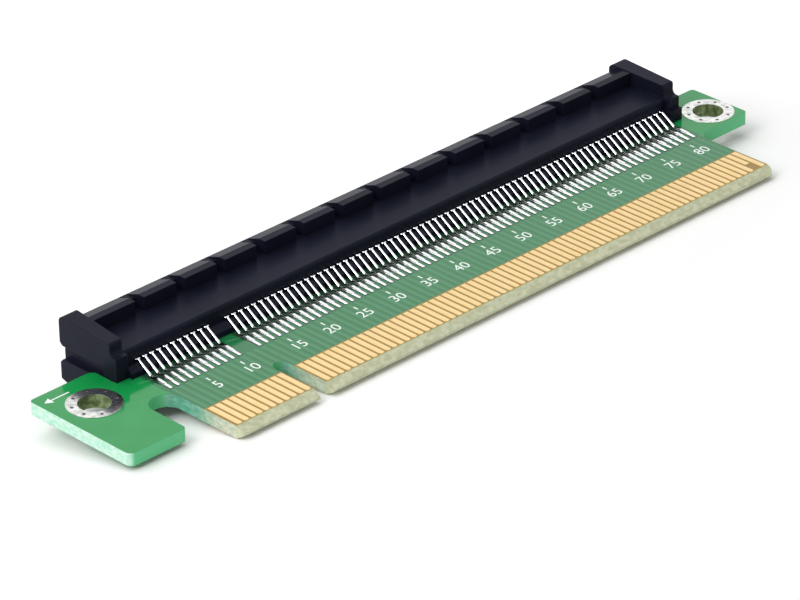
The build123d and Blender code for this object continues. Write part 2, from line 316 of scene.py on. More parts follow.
def floor_finish():
    """Pale grey, with a light of its own that only the camera and reflections see."""
    paint = Finish("floor_white", Roughness=0.9, Specular_IOR_Level=0.1, Emission_Strength=1.0)
    paint.set("Base Color", (floor_grey, floor_grey, floor_grey, 1.0))
    centre = middle / mm
    half = (cad_high - cad_low) / 2 / mm + Vector((round_card, round_card, 0.0))
    across, along = (paint.x - centre.x) / half.x, (paint.y - centre.y) / half.y
    away = (across * across + along * along).math("SQRT").step(near_reach, far_reach)
    to_camera, mirrored = (
        paint.node("ShaderNodeLightPath", output=name) for name in ("Is Camera Ray", "Is Glossy Ray")
    )
    own_light = away * (own_light_far - own_light_near) + own_light_near
    paint.set("Emission Color", own_light * to_camera.math("MAXIMUM", mirrored))
    return paint


floor_mesh.materials.append(floor_finish().material)
print("floor slope in degrees:", round(math.degrees(math.atan(floor_slope)), 2))

# %% [markdown]
# ## Places on the board
# Sizes come from the frame's boxes wherever a solid shows them, so the dressing follows the model.

# %% Sizes read from the frame
board_low, board_high = (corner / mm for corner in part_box("circuit_board"))
finger_low, finger_high = (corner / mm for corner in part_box("edge_fingers_top_long_row"))
pad_low, pad_high = (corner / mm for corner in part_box("solder_pads_top_long_row"))
toe_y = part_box("contacts_top_long_row")[0].y / mm
housing_low, housing_high = (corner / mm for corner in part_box("connector_housing"))
board_top = board_high.z
pin_pitch = 1.0
rows = {"short": 11, "long": 71}
copper = pad_high.z - board_top
housing_front = housing_low.y + 1.3
slot_mouth = housing_high.y - 0.4
lead_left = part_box("contacts_top_short_row")[0].x / mm
hole_names = ("mounting_ring_left", "mounting_ring_right")
ring_outer, ring_inner, hole_radius = 3.15, 1.9, 1.85
print("board top", round(board_top, 3), "pads from y", round(pad_low.y, 2), "to", round(pad_high.y, 2))

# %% [markdown]
# ## Finishes
# The board is one solid, so its finish is painted by place: green solder mask on the faces, bare
# laminate where the mask stops before the gold fingers, painted darker between them as painted shade,
# and the glass-fibre of the cut edges, painted pale where they face left as painted light.
# Under the mask the copper tracks show as faint lighter lines, one from each finger to its pad, each
# with a painted highlight on its left edge, and a dark band of painted shade lies where the leads
# come down in front of the housing.

# %% Board finish
mask_front = finger_high.y + 0.25
bevel_length = 1.1
tongue_left, tongue_right = lead_left - 0.3, finger_high.x + 0.3
track_edge = 0.18


def mask_colour(paint, on_tongue, cloud):
    """Solder mask: clear green on the tabs, greyer over the tongue's inner copper, with tracks whose left
    edges carry a painted highlight.
    """
    tab_green = paint.mix(cloud.step(0.35, 0.75) * 0.4, colour(16, 146, 70), colour(40, 164, 92))
    tongue_green = paint.mix(cloud.step(0.35, 0.75) * 0.4, colour(30, 118, 66), colour(52, 126, 82))
    masked = paint.mix(on_tongue, tab_green, tongue_green)
    from_middle = paint.x.math("FRACT") - 0.5
    # The left edge of each track is painted brighter than its right edge, a painted highlight from the
    # light on the left.
    rim = from_middle.band(-track_edge - 0.03, -track_edge + 0.03, 0.02)
    rim = rim + from_middle.band(track_edge - 0.02, track_edge + 0.02, 0.02) * 0.4
    inside = from_middle.abs().step(track_edge, track_edge - 0.04) * 0.25
    tracks = (rim + inside) * paint.y.band(mask_front, pad_low.y, 0.1) * on_tongue
    return paint.mix(tracks * 0.8, masked, colour(96, 170, 124)), tracks


def edge_colour(paint, fibre):
    """Cut edges: green where they face the front; where they face left, painted pale as painted light
    from the left, and mottled.
    """
    facing = paint.node("ShaderNodeNewGeometry", output="True Normal")
    to_right = paint.node("ShaderNodeSeparateXYZ", inputs={0: facing})
    painted_light_facing_left = to_right.step(-0.35, -0.8)
    pale = fibre.step(0.3, 0.7)
    # Faces turned left are painted pale as painted light from the left lamp; along the tongue they run
    # greener towards the back and paler towards the front.
    tab_side = paint.mix(pale, colour(166, 226, 196), colour(214, 240, 226))
    tongue_back = paint.mix(pale, colour(84, 170, 138), colour(136, 194, 176))
    tongue_front = paint.mix(pale, colour(180, 186, 160), colour(212, 216, 196))
    tongue_side = paint.mix(paint.y.step(8.5, 3.0), tongue_back, tongue_front)
    near_tongue = paint.x.band(tongue_left - 1.4, tongue_right + 1.4, 1.2)
    side = paint.mix(near_tongue, tab_side, tongue_side)
    return paint.mix(painted_light_facing_left, colour(92, 198, 134), side)


def board_finish():
    """The whole board: masked faces, bare strip at the fingers, cut edges and bevel."""
    paint = Finish("solder_mask_and_laminate", IOR=1.56)
    on_tongue = paint.x.band(tongue_left - 0.3, tongue_right + 0.3, 0.05)
    cloud = paint.noise(0.22, 4.0)
    masked, tracks = mask_colour(paint, on_tongue, cloud)

    # A dark band is painted on the mask under the leads in front of the housing, as painted shade.
    under_leads = paint.x.band(lead_left - 0.2, finger_high.x + 0.2, 0.3) * paint.x.abs().step(0.8, 1.1)
    painted_shade_at_housing = paint.y.band(pad_high.y - 1.9, housing_low.y + 1.5, 0.5) * under_leads
    masked = paint.mix(painted_shade_at_housing * 0.75, masked, colour(30, 58, 42))
    bare_zone = paint.y.step(mask_front + 0.08, mask_front - 0.08) * on_tongue
    # Between the fingers the bare laminate is painted darker brown, as painted shade in the narrow gaps.
    before_fingers = paint.y.step(finger_low.y + 0.1, finger_low.y - 0.1)
    bare = paint.mix(before_fingers, colour(150, 122, 54), colour(176, 164, 100))
    faces = paint.mix(bare_zone, masked, bare)

    fibre = paint.noise(1.3, 6.0, (1.0, 1.0, 2.0))
    bevel = paint.mix(fibre.step(0.3, 0.7), colour(186, 190, 154), colour(210, 213, 182))
    on_bevel = paint.y.step(bevel_length + 0.1, bevel_length - 0.1) * on_tongue
    edge = paint.mix(on_bevel, edge_colour(paint, fibre), bevel)
    on_edge = paint.z.abs().step(board_top - 0.01, board_top - 0.03)
    paint.set("Base Color", paint.mix(on_edge, faces, edge))
    paint.set("Roughness", 0.08 + on_edge * 0.45 + bare_zone * 0.3 + cloud * 0.05)
    paint.bump(tracks * 0.6 + cloud * 0.4 + fibre * on_edge * 0.5, 0.00002, 0.4)
    return paint


board_paint = board_finish()
dress("circuit_board", board_paint)
print("board dressed")

# %% [markdown]
# ## Metals
# Gold fingers and tinned leads are both thin bright metal, so most of what they show is the white
# tent round them. The colour of a metal is its reflection, which goes in Base Color. Round each
# heel, where a lead bends onto the board, tin and solder are painted dark grey as painted shade and
# the dark reflection of the housing; the pads are darkened to dark grey all over.

# %% Gold and tin
def gold_finish():
    """Soft gold, with faint wear along each finger."""
    paint = Finish("gold_plating", Metallic=1.0, Roughness=0.28)
    worn = paint.noise(1.2, 4.0, (3.0, 0.5, 1.0))
    paint.set("Base Color", paint.mix(worn.step(0.3, 0.8), colour(248, 220, 166), colour(240, 206, 144)))
    paint.set("Roughness", 0.22 + worn * 0.2)
    paint.bump(worn, 0.00001, 0.4)
    return paint


def tin_finish(name, roughness, patchiness, darkening=0.0, heel=None):
    """Tin or solder, darkened all over, or only round the leads' heels as painted shade and dark
    reflection.
    """
    paint = Finish(name, Metallic=1.0)
    patches = paint.noise(2.5, 3.0)
    tin = paint.mix(patches.step(0.3, 0.8), colour(250, 251, 255), colour(222, 223, 228))
    if heel is not None:
        darkening = paint.y.band(heel[0], heel[1], 0.12) * 0.85
    paint.set("Base Color", paint.mix(darkening, tin, colour(78, 84, 76)))
    paint.set("Roughness", roughness + patches * patchiness)
    paint.bump(patches, 0.000002, 0.5)
    return paint


gold_paint = gold_finish()
heel_y = pad_high.y - 0.4
# Round each heel the tin and solder are painted dark grey, as painted shade and the housing's dark
# reflection.
heel_shade_zone = (heel_y - 1.05, heel_y + 0.05)
lead_paint = tin_finish("tinned_lead", 0.07, 0.06, heel=heel_shade_zone)
solder_paint = tin_finish("solder", 0.05, 0.08, heel=(heel_shade_zone[0] - 0.2, heel_shade_zone[1] + 1.0))
pad_paint = tin_finish("darkened_pad", 0.3, 0.1, darkening=0.9)


def ring_finish():
    """Tin on the ring, olive laminate and worn gold down the hole, and the small holes painted dark as
    painted shade.
    """
    paint = Finish("tinned_ring")
    places = []
    for node_name in hole_names:
        low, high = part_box(node_name)
        centre = (low + high) / 2 / mm
        across, along = paint.x - centre.x, paint.y - centre.y
        places.append((across * across + along * along).math("SQRT"))
    radius = places[0].math("MINIMUM", places[1])
    below_face = paint.z.abs().step(board_top + 0.025, board_top + 0.015)
    in_hole = radius.step(ring_inner, ring_inner - 0.03) * below_face
    # The small holes are painted dark grey-brown, as painted shade inside them.
    small_hole_shade = radius.step(ring_inner + 0.1, ring_inner + 0.2) * below_face
    patches = paint.noise(1.6, 4.0)
    tin = paint.mix(patches.step(0.35, 0.7), colour(248, 248, 246), colour(206, 208, 204))
    wall = paint.mix(patches.step(0.35, 0.65), colour(158, 176, 128), colour(104, 118, 74))
    tin_and_wall = paint.mix(in_hole, tin, wall)
    paint.set("Base Color", paint.mix(small_hole_shade, tin_and_wall, colour(72, 66, 66)))
    paint.set("Metallic", 1.0 - in_hole * 0.6 - small_hole_shade)
    paint.set("Roughness", 0.1 + patches * 0.08 + in_hole * 0.15)
    paint.bump(patches, 0.00001, 0.5)
    return paint


ring_paint = ring_finish()
for name in nodes:
    if "finger" in name:
        dress(name, gold_paint)
    elif name.startswith("contacts"):
        dress(name, lead_paint)
    elif name.startswith("solder_pads"):
        dress(name, pad_paint)
    elif name.startswith("mounting_ring"):
        dress(name, ring_paint)
print("metals dressed")

# %% [markdown]
# ## Black moulding
# The housing is glass-filled nylon, nearly black, with the fine even grain that a spark-eroded
# mould leaves. Its edges are not razor sharp: a Bevel node bends the shading across each edge.

# %% Housing finish
def housing_finish():
    """Black nylon with mould grain and softened edges."""
    paint = Finish("black_nylon", IOR=1.17, Specular_Tint=(0.78, 0.84, 1.0, 1.0))
    grain = paint.noise(9.0, 2.0)
    drift = paint.noise(0.15, 3.0)
    paint.set("Base Color", paint.mix(drift.step(0.3, 0.7), colour(19, 21, 34), colour(24, 26, 40)))
    paint.set("Roughness", 0.3 + drift * 0.1)
    softened = paint.node("ShaderNodeBevel", {"samples": 4}, {"Radius": 0.12 * mm})
    sockets = {"Height": grain, "Distance": 0.000012, "Strength": 0.35, "Normal": softened}
    paint.set("Normal", paint.node("ShaderNodeBump", inputs=sockets))
    return paint


housing_paint = housing_finish()
dress("connector_housing", housing_paint)
print("housing dressed")

# %% [markdown]
# ## One row tree for everything that repeats
# A card like this is mostly rows: 82 fingers, 82 leads, 82 solder joints and the walls between
# the contacts, on each face. Every one is the same shape set down again at the pin pitch, so a
# single Geometry Nodes tree lays them all: a line of points, one instance on each, a slight
# seeded change of height where hand or oven made them, and a real mesh at the end.

# %% The row tree
row_tree = bpy.data.node_groups.new("row_at_pin_pitch", "GeometryNodeTree")
row_sockets = {}


def row_input(label, kind, default=None):
    """Add a named input to the row tree and remember its identifier."""
    socket = row_tree.interface.new_socket(label, in_out="INPUT", socket_type=kind)
    if default is not None:
        socket.default_value = default
    row_sockets[label] = socket.identifier


row_input("One Piece", "NodeSocketGeometry")
row_input("First", "NodeSocketFloat", 0.0)
row_input("Level", "NodeSocketFloat", 0.0)
row_input("Pitch", "NodeSocketFloat", pin_pitch * mm)
row_input("Count", "NodeSocketInt", 1)
row_input("Left Out", "NodeSocketInt", -1)
row_input("Height Spread", "NodeSocketFloat", 0.0)
row_input("Shift Spread", "NodeSocketFloat", 0.0)
row_input("Seed", "NodeSocketInt", 7)
row_input("Finish", "NodeSocketMaterial")
row_tree.interface.new_socket("Row", in_out="OUTPUT", socket_type="NodeSocketGeometry")

given = add_node(row_tree, "NodeGroupInput").outputs
start = add_node(row_tree, "ShaderNodeCombineXYZ", inputs={"X": given["First"], "Z": given["Level"]})
spacing = add_node(row_tree, "ShaderNodeCombineXYZ", inputs={"X": given["Pitch"]})
line = add_node(row_tree, "GeometryNodeMeshLine", {"mode": "OFFSET"}, {
    "Count": given["Count"],
    "Start Location": start.outputs[0],
    "Offset": spacing.outputs[0],
})
index = add_node(row_tree, "GeometryNodeInputIndex")
unwanted = add_node(row_tree, "FunctionNodeCompare", {"data_type": "INT", "operation": "EQUAL"}, {
    2: index.outputs[0],
    3: given["Left Out"],
})
kept = add_node(row_tree, "GeometryNodeDeleteGeometry", {"domain": "POINT"}, {
    "Geometry": line.outputs[0],
    "Selection": unwanted.outputs[0],
})


def spread_about(centre, spread, seed_step):
    """A seeded value for each point, at most the spread above or below a centre."""
    low = add_node(row_tree, "ShaderNodeMath", {"operation": "SUBTRACT"}, {0: centre, 1: spread})
    high = add_node(row_tree, "ShaderNodeMath", {"operation": "ADD"}, {0: centre, 1: spread})
    seed = add_node(row_tree, "ShaderNodeMath", {"operation": "ADD"}, {0: given["Seed"], 1: seed_step})
    return add_node(row_tree, "FunctionNodeRandomValue", {"data_type": "FLOAT"}, {
        2: low.outputs[0],
        3: high.outputs[0],
        "Seed": seed.outputs[0],
    }).outputs[1]


height = spread_about(1.0, given["Height Spread"], 0)
shift = spread_about(0.0, given["Shift Spread"], 1)
stretch = add_node(row_tree, "ShaderNodeCombineXYZ", inputs={"X": 1.0, "Y": 1.0, "Z": height})
moved = add_node(row_tree, "ShaderNodeCombineXYZ", inputs={"Y": shift})
placed = add_node(row_tree, "GeometryNodeSetPosition", inputs={
    "Geometry": kept.outputs[0],
    "Offset": moved.outputs[0],
})
copies = add_node(row_tree, "GeometryNodeInstanceOnPoints", inputs={
    "Points": placed.outputs[0],
    "Instance": given["One Piece"],
    "Scale": stretch.outputs[0],
})
real = add_node(row_tree, "GeometryNodeRealizeInstances", inputs={0: copies.outputs[0]})
coated = add_node(row_tree, "GeometryNodeSetMaterial", inputs={
    "Geometry": real.outputs[0],
    "Material": given["Finish"],
})
row_end = add_node(row_tree, "NodeGroupOutput")
row_tree.links.new(coated.outputs[0], row_end.inputs[0])
print("row tree inputs:", ", ".join(row_sockets))

# %% [markdown]
# The result of a tree is kept as an ordinary mesh, so that nothing is left to work out later.

# %% From tree to mesh
def plain_mesh(piece, tree, sockets, values):
    """Run a tree on a piece, then keep the result as an ordinary mesh without the modifier."""
    bpy.context.scene.collection.objects.link(piece)
    modifier = piece.modifiers.new("made_by_nodes", "NODES")
    modifier.node_group = tree
    for label, value in values.items():
        modifier[sockets[label]] = value
    evaluated = piece.evaluated_get(bpy.context.evaluated_depsgraph_get())
    made = bpy.data.meshes.new_from_object(evaluated)
    piece.modifiers.remove(modifier)
    piece.data = made
    return piece


def lay_row(name, mesh, side, row, finish, first_x, level=0.0, count=None, **more):
    """Lay one mesh along the short or the long row of pins on one face of the board."""
    values = {
        "First": first_x * mm,
        "Level": level * mm,
        "Count": rows[row] if count is None else count,
        "Finish": finish.material,
    }
    values.update(more)
    piece = plain_mesh(bpy.data.objects.new(f"{name}_{side}_{row}", mesh), row_tree, row_sockets, values)
    print(piece.name, "triangles:", sum(len(face.vertices) - 2 for face in piece.data.polygons))
    return piece


print("pins in each row:", rows)

# %% [markdown]
# ## Two ways to make the piece that repeats
# A loft joins cross-sections with the same number of corners, which suits a lead whose width and
# height change along its way. A prism is one flat outline with a thickness, which suits fingers
# and walls. Both are closed, and their faces are turned outwards before use.

# %% Loft and prism
def closed_mesh(name, vertices, faces, smooth):
    """A mesh in metres from corners in millimetres, with every face turned outwards."""
    shape = bmesh.new()
    corners = [shape.verts.new(Vector(v) * mm) for v in vertices]
    for face in faces:
        shape.faces.new([corners[i] for i in face])
    bmesh.ops.recalc_face_normals(shape, faces=shape.faces)
    for face in shape.faces:
        face.smooth = smooth
    mesh = bpy.data.meshes.new(name)
    shape.to_mesh(mesh)
    shape.free()
    return mesh


def loft(name, sections, smooth=True):
    """Skin over closed cross-sections that have the same number of corners."""
    size = len(sections[0])
    vertices = [corner for section in sections for corner in section]
    faces = [tuple(range(size)), tuple(range(len(vertices) - size, len(vertices)))]
    for i in range(len(sections) - 1):
        for j in range(size):
            after = (j + 1) % size
            faces.append((i * size + j, i * size + after, (i + 1) * size + after, (i + 1) * size + j))
    return closed_mesh(name, vertices, faces, smooth)


def prism(name, outline, direction, reach):
    """A flat outline pushed through a distance along a direction."""
    push = Vector(direction) * reach
    near = [Vector(corner) for corner in outline]
    return loft(name, [near, [corner + push for corner in near]], smooth=False)


print("mesh makers ready:", loft.__name__, prism.__name__)

# %% [markdown]
# ## Gold fingers
# The fingers are plated copper about as thin as paper. Their front ends are rounded, which the
# plain blocks of the frame leave out, so a rounded finger is laid along each row in their place.
# One finger on each face is shorter, and its place is left empty here: in the long row on the top face,
# in the short row on the bottom face.

# %% Fingers
first_pin = {"short": -11.5, "long": 1.5}
finger_width = 0.7
finger_corner = 0.26
half_finger = finger_width / 2


def finger_outline(front, back, low_z):
    """Plan of a finger with its two front corners rounded."""
    outline = [(-half_finger, back, low_z)]
    for centre_x, angles in ((finger_corner - half_finger, (180, 210, 240, 270)),
                             (half_finger - finger_corner, (270, 300, 330, 360))):
        for angle in angles:
            turn = math.radians(angle)
            x = centre_x + finger_corner * math.cos(turn)
            outline.append((x, front + finger_corner * (1 + math.sin(turn)), low_z))
    outline.append((half_finger, back, low_z))
    return outline


def finger_mesh(front, back, side):
    """One finger with its thickness, on the top or the bottom face."""
    low_z = board_top if side == "top" else -board_top - copper
    return prism("finger", finger_outline(front, back, low_z), (0, 0, 1), copper)


left_out = {"top": {"short": -1, "long": rows["long"] - 2}, "bottom": {"short": 0, "long": -1}}
for side in ("top", "bottom"):
    for row in rows:
        mesh = finger_mesh(finger_low.y, finger_high.y, side)
        more = {"Left Out": left_out[side][row]}
        piece = lay_row("fingers", mesh, side, row, gold_paint, first_pin[row], **more)
        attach(piece, "root")
        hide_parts(f"edge_fingers_{side}_{row}_row")

# %% [markdown]
# ## Leads
# Each contact is stamped from thin strip. Inside the housing it is wide; where it leaves, it
# necks down at two square shoulders, slopes to the board as it widens a little, and ends in a
# narrow foot. The foot arches, so its front half mirrors the white tent and the rest the housing.
# It is lofted along its bent centre line, with a width for each place on the way, and its long
# edges are broken so that they catch the light.

# %% Lead path
strip_thickness = 0.2
edge_break = 0.04
foot_z = board_top + copper + strip_thickness / 2
arch_y = toe_y + 1.3
arch_height = 0.1
head_y = housing_front - 0.25
slot_z = board_top + 0.35
head_z = 2.285
crest_y = slot_mouth - 1.8
crest_offset, tip_offset, tip_reach = 0.55, 0.95, 0.9


def lead_line(side):
    """Toe, arch, heel, head, crest and tip of a contact; side is 1 above the board, -1 below."""
    return [
        (toe_y, side * foot_z),
        (arch_y, side * (foot_z + arch_height)),
        (heel_y, side * foot_z),
        (head_y, side * head_z),
        (crest_y, slot_z + side * crest_offset),
        (crest_y + tip_reach, slot_z + side * tip_offset),
    ]


lead_lines = {"top": lead_line(1), "bottom": lead_line(-1)}
# Radius of the bend at each inner corner of that line, by the corner's number
bend_radius = {1: 4.0, 2: 0.25, 3: 0.3, 4: 0.5}
bend_steps = 3


def bent_path(points):
    """Replace the inner corners of a line with short arcs."""
    points = [Vector(point) for point in points]
    path = [points[0]]
    for i, radius in bend_radius.items():
        before = (points[i - 1] - points[i]).normalized()
        after = (points[i + 1] - points[i]).normalized()
        half_turn = before.angle(after) / 2
        reach = radius / math.tan(half_turn)
        start, end = points[i] + before * reach, points[i] + after * reach
        for step in range(bend_steps + 1):
            share = step / bend_steps
            one, two = start.lerp(points[i], share), points[i].lerp(end, share)
            path.append(one.lerp(two, share))
    return path + [points[-1]]


# Distance from the heel along the path, then the strip's full width there, in millimetres
leg_length = math.dist(*lead_lines["top"][2:4])
lead_widths = [(-2.3, 0.24), (-2.1, 0.31), (-0.3, 0.32), (0.3, 0.31), (leg_length / 2, 0.25),
               (leg_length - 0.18, 0.22), (leg_length - 0.12, 0.56), (leg_length + 0.3, 0.74),
               (9.0, 0.70), (10.5, 0.6)]


def width_at(distance):
    """Width of the strip, read between the two nearest listed places."""
    for (near, near_width), (far, far_width) in zip(lead_widths, lead_widths[1:]):
        if distance <= far:
            share = max(0.0, (distance - near) / (far - near))
            return near_width + share * (far_width - near_width)
    return lead_widths[-1][1]


def with_stops(path, stops):
    """Add points to a path at given distances along it, measured from its start."""
    walked, dense = 0.0, [path[0]]
    for here, there in zip(path, path[1:]):
        length = (there - here).length
        for stop in stops:
            if walked + 0.02 < stop < walked + length - 0.02:
                dense.append(here.lerp(there, (stop - walked) / length))
        walked += length
        dense.append(there)
    return dense


def lead_mesh(line):
    """One contact, lofted along its bent line."""
    path = bent_path(line)
    heel = sum(math.dist(here, there) for here, there in zip(line[:2], line[1:3]))
    path = with_stops(path, [heel + station[0] for station in lead_widths])
    sections, walked = [], 0.0
    for i, point in enumerate(path):
        if i:
            walked += (point - path[i - 1]).length
        ahead = path[min(i + 1, len(path) - 1)] - path[max(i - 1, 0)]
        across = Vector((-ahead.y, ahead.x)).normalized()
        half, thick, cut = width_at(walked - heel) / 2, strip_thickness / 2, edge_break
        ring = [(half - cut, thick), (half, thick - cut), (half, cut - thick), (half - cut, -thick)]
        ring += [(-x, offset) for x, offset in reversed(ring)]
        sections.append([(x, point.x + across.x * o, point.y + across.y * o) for x, o in ring])
    mesh = loft("lead", sections)
    mark_long_edges_sharp(mesh)
    return mesh


def mark_long_edges_sharp(mesh):
    """Keep the shading smooth along a strip but crisp across its edges."""
    shape = bmesh.new()
    shape.from_mesh(mesh)
    for edge in shape.edges:
        if edge.is_manifold and edge.calc_face_angle() > math.radians(30):
            edge.smooth = False
    shape.to_mesh(mesh)
    shape.free()


print("lead from y", round(toe_y, 2), "to", round(crest_y + tip_reach, 2), "leg", round(leg_length, 2))

# %% Leads in place
for side, line in lead_lines.items():
    for row in rows:
        piece = lay_row("leads", lead_mesh(line), side, row, lead_paint, first_pin[row])
        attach(piece, "root")
        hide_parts(f"contacts_{side}_{row}_row")

# %% [markdown]
# ## Solder
# Molten solder pulls itself up behind the heel of a lead, lies low beside its foot, gathers again
# at the toe and feathers out on the pad in front. One joint is lofted from a few hump-shaped
# sections. No two joints are quite alike, so the row tree stretches and shifts each one a little,
# from a fixed seed.

# %% Solder joints
# Place along the pad from its front, height above it, and half width
joint_stations = [(0.02, 0.03, 0.12), (0.3, 0.08, 0.18), (0.75, 0.12, 0.2), (0.98, 0.15, 0.2),
                  (1.15, 0.11, 0.2), (2.1, 0.12, 0.2), (3.0, 0.11, 0.2), (3.2, 0.16, 0.19),
                  (3.36, 0.3, 0.15), (3.46, 0.05, 0.08)]
hump = [(-1.0, 0.0), (-0.93, 0.35), (-0.72, 0.8), (-0.35, 1.0), (0.35, 1.0), (0.72, 0.8), (0.93, 0.35),
        (1.0, 0.0)]


def joint_mesh(up):
    """One solder joint; up is 1 on the top face and -1 below."""
    sections = []
    for along, tall, half in joint_stations:
        sections.append([(x * half, pad_low.y + along, up * z * tall) for x, z in hump])
    return loft("solder_joint", sections)


for side, up in (("top", 1), ("bottom", -1)):
    for row in rows:
        more = {"Height Spread": 0.12, "Shift Spread": 0.05 * mm, "Seed": 11}
        level = up * (board_top + copper)
        piece = lay_row("solder", joint_mesh(up), side, row, solder_paint, first_pin[row], level, **more)
        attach(piece, "root")

# %% [markdown]
# ## Walls between the contacts
# Inside the slot a thin wall parts each contact from the next, and the same wall closes the face
# of the housing between the leads. The frame leaves one long chamber for each row; here the walls
# go in, one more than there are pins.

# %% Partition walls
wall_thickness = 0.24
wall_front = housing_front + 0.02
chamber_front = wall_front + 0.62
chamber_back = slot_mouth - 0.7
slot_half = 0.875
chamber_height = 0.45
slit, headroom = 0.155, 0.35


def strip_z(line, y):
    """Height of a contact's strip between its head and its crest."""
    (near_y, near_z), (far_y, far_z) = line[3], line[4]
    return near_z + (far_z - near_z) * (y - near_y) / (far_y - near_y)


def wall_mesh(line, up):
    """A wall that leaves a slit for its lead at the front and fills the chamber behind it."""
    corners = [
        (wall_front, strip_z(line, wall_front) - up * slit),
        (wall_front, strip_z(line, wall_front) + up * slit),
        (chamber_front, strip_z(line, chamber_front) + up * slit),
        (chamber_front, strip_z(line, chamber_front) + up * headroom),
        (chamber_back, slot_z + up * (slot_half + chamber_height)),
        (chamber_back, slot_z + up * slot_half),
        (chamber_front, slot_z + up * slot_half),
    ]
    outline = [(-wall_thickness / 2, y, z) for y, z in corners]
    return prism("wall", outline, (1, 0, 0), wall_thickness)


for side, up in (("top", 1), ("bottom", -1)):
    for row in rows:
        mesh = wall_mesh(lead_lines[side], up)
        first = first_pin[row] - pin_pitch / 2
        piece = lay_row("walls", mesh, side, row, housing_paint, first, count=rows[row] + 1)
        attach(piece, "root")

# %% [markdown]
# ## Plated mounting holes
# Round each hole a tinned ring carries eight small plated holes that tie it to the ground layers.
# A tree draws the ring as circles: one outside, one for the hole and eight small ones in between,
# then fills between the lines and gives the face its thickness. The hole's own wall is spun.

# %% The ring tree
small_holes = {"count": 8, "circle": 2.52, "radius": 0.22, "corners": 12}
rim_corners, barrel_corners = 64, 48
ring_tree = bpy.data.node_groups.new("ring_with_small_holes", "GeometryNodeTree")
ring_sockets = {}
for label, kind, default in (
    ("Barrel", "NodeSocketGeometry", None),
    ("Outer Radius", "NodeSocketFloat", ring_outer * mm),
    ("Hole Radius", "NodeSocketFloat", ring_inner * mm),
    ("Small Hole Radius", "NodeSocketFloat", small_holes["radius"] * mm),
    ("Small Hole Circle", "NodeSocketFloat", small_holes["circle"] * mm),
    ("Small Holes", "NodeSocketInt", small_holes["count"]),
    ("Thickness", "NodeSocketFloat", copper * mm),
    ("Face Level", "NodeSocketFloat", board_top * mm),
    ("Finish", "NodeSocketMaterial", None),
):
    socket = ring_tree.interface.new_socket(label, in_out="INPUT", socket_type=kind)
    if default is not None:
        socket.default_value = default
    ring_sockets[label] = socket.identifier
ring_tree.interface.new_socket("Ring", in_out="OUTPUT", socket_type="NodeSocketGeometry")
given = add_node(ring_tree, "NodeGroupInput").outputs


def circle(radius, corners):
    """A circle of straight pieces, as a curve in the ring tree."""
    return add_node(ring_tree, "GeometryNodeCurvePrimitiveCircle", {"mode": "RADIUS"},
                    {"Radius": radius, "Resolution": corners}).outputs[0]


around = add_node(ring_tree, "GeometryNodeMeshCircle", inputs={
    "Vertices": given["Small Holes"],
    "Radius": given["Small Hole Circle"],
})
half_step = math.pi / small_holes["count"]
turned = add_node(ring_tree, "GeometryNodeTransform", inputs={
    "Geometry": around.outputs[0],
    "Rotation": (0.0, 0.0, half_step),
})
small_circle = circle(given["Small Hole Radius"], small_holes["corners"])
small_circles = add_node(ring_tree, "GeometryNodeInstanceOnPoints", inputs={
    "Points": turned.outputs[0],
    "Instance": small_circle,
})
lines = add_node(ring_tree, "GeometryNodeJoinGeometry")
rim = circle(given["Outer Radius"], rim_corners)
edge_of_hole = circle(given["Hole Radius"], barrel_corners)
for socket in (rim, edge_of_hole, small_circles.outputs[0]):
    ring_tree.links.new(socket, lines.inputs[0])
loose_lines = add_node(ring_tree, "GeometryNodeRealizeInstances", inputs={0: lines.outputs[0]})
face = add_node(ring_tree, "GeometryNodeFillCurve", {"mode": "TRIANGLES"}, {
    "Curve": loose_lines.outputs[0],
})
plate = add_node(ring_tree, "GeometryNodeExtrudeMesh", {"mode": "FACES"}, {
    "Mesh": face.outputs[0],
    "Offset": (0.0, 0.0, 1.0),
    "Offset Scale": given["Thickness"],
    "Individual": False,
})
under = add_node(ring_tree, "GeometryNodeFlipFaces", inputs={"Mesh": face.outputs[0]})
closed = add_node(ring_tree, "GeometryNodeJoinGeometry")
ring_tree.links.new(plate.outputs[0], closed.inputs[0])
ring_tree.links.new(under.outputs[0], closed.inputs[0])
welded = add_node(ring_tree, "GeometryNodeMergeByDistance", inputs={
    "Geometry": closed.outputs[0],
    "Distance": 0.001 * mm,
})
down = add_node(ring_tree, "ShaderNodeMath", {"operation": "ADD"}, {
    0: given["Face Level"],
    1: given["Thickness"],
})
below = add_node(ring_tree, "ShaderNodeMath", {"operation": "MULTIPLY"}, {0: down.outputs[0], 1: -1.0})
both = add_node(ring_tree, "GeometryNodeJoinGeometry")
for level_socket in (given["Face Level"], below.outputs[0]):
    lift = add_node(ring_tree, "ShaderNodeCombineXYZ", inputs={"Z": level_socket})
    lifted = add_node(ring_tree, "GeometryNodeTransform", inputs={
        "Geometry": welded.outputs[0],
        "Translation": lift.outputs[0],
    })
    ring_tree.links.new(lifted.outputs[0], both.inputs[0])
ring_tree.links.new(given["Barrel"], both.inputs[0])
real = add_node(ring_tree, "GeometryNodeRealizeInstances", inputs={0: both.outputs[0]})
coated = add_node(ring_tree, "GeometryNodeSetMaterial", inputs={
    "Geometry": real.outputs[0],
    "Material": given["Finish"],
})
ring_end = add_node(ring_tree, "NodeGroupOutput")
ring_tree.links.new(coated.outputs[0], ring_end.inputs[0])
print("ring tree inputs:", ", ".join(ring_sockets))

# %% Rings in place
def on_circle(radius, step, steps, z):
    """A corner of a regular polygon round the z axis."""
    turn = 2 * math.pi * step / steps
    return Vector((radius * math.cos(turn), radius * math.sin(turn), z))


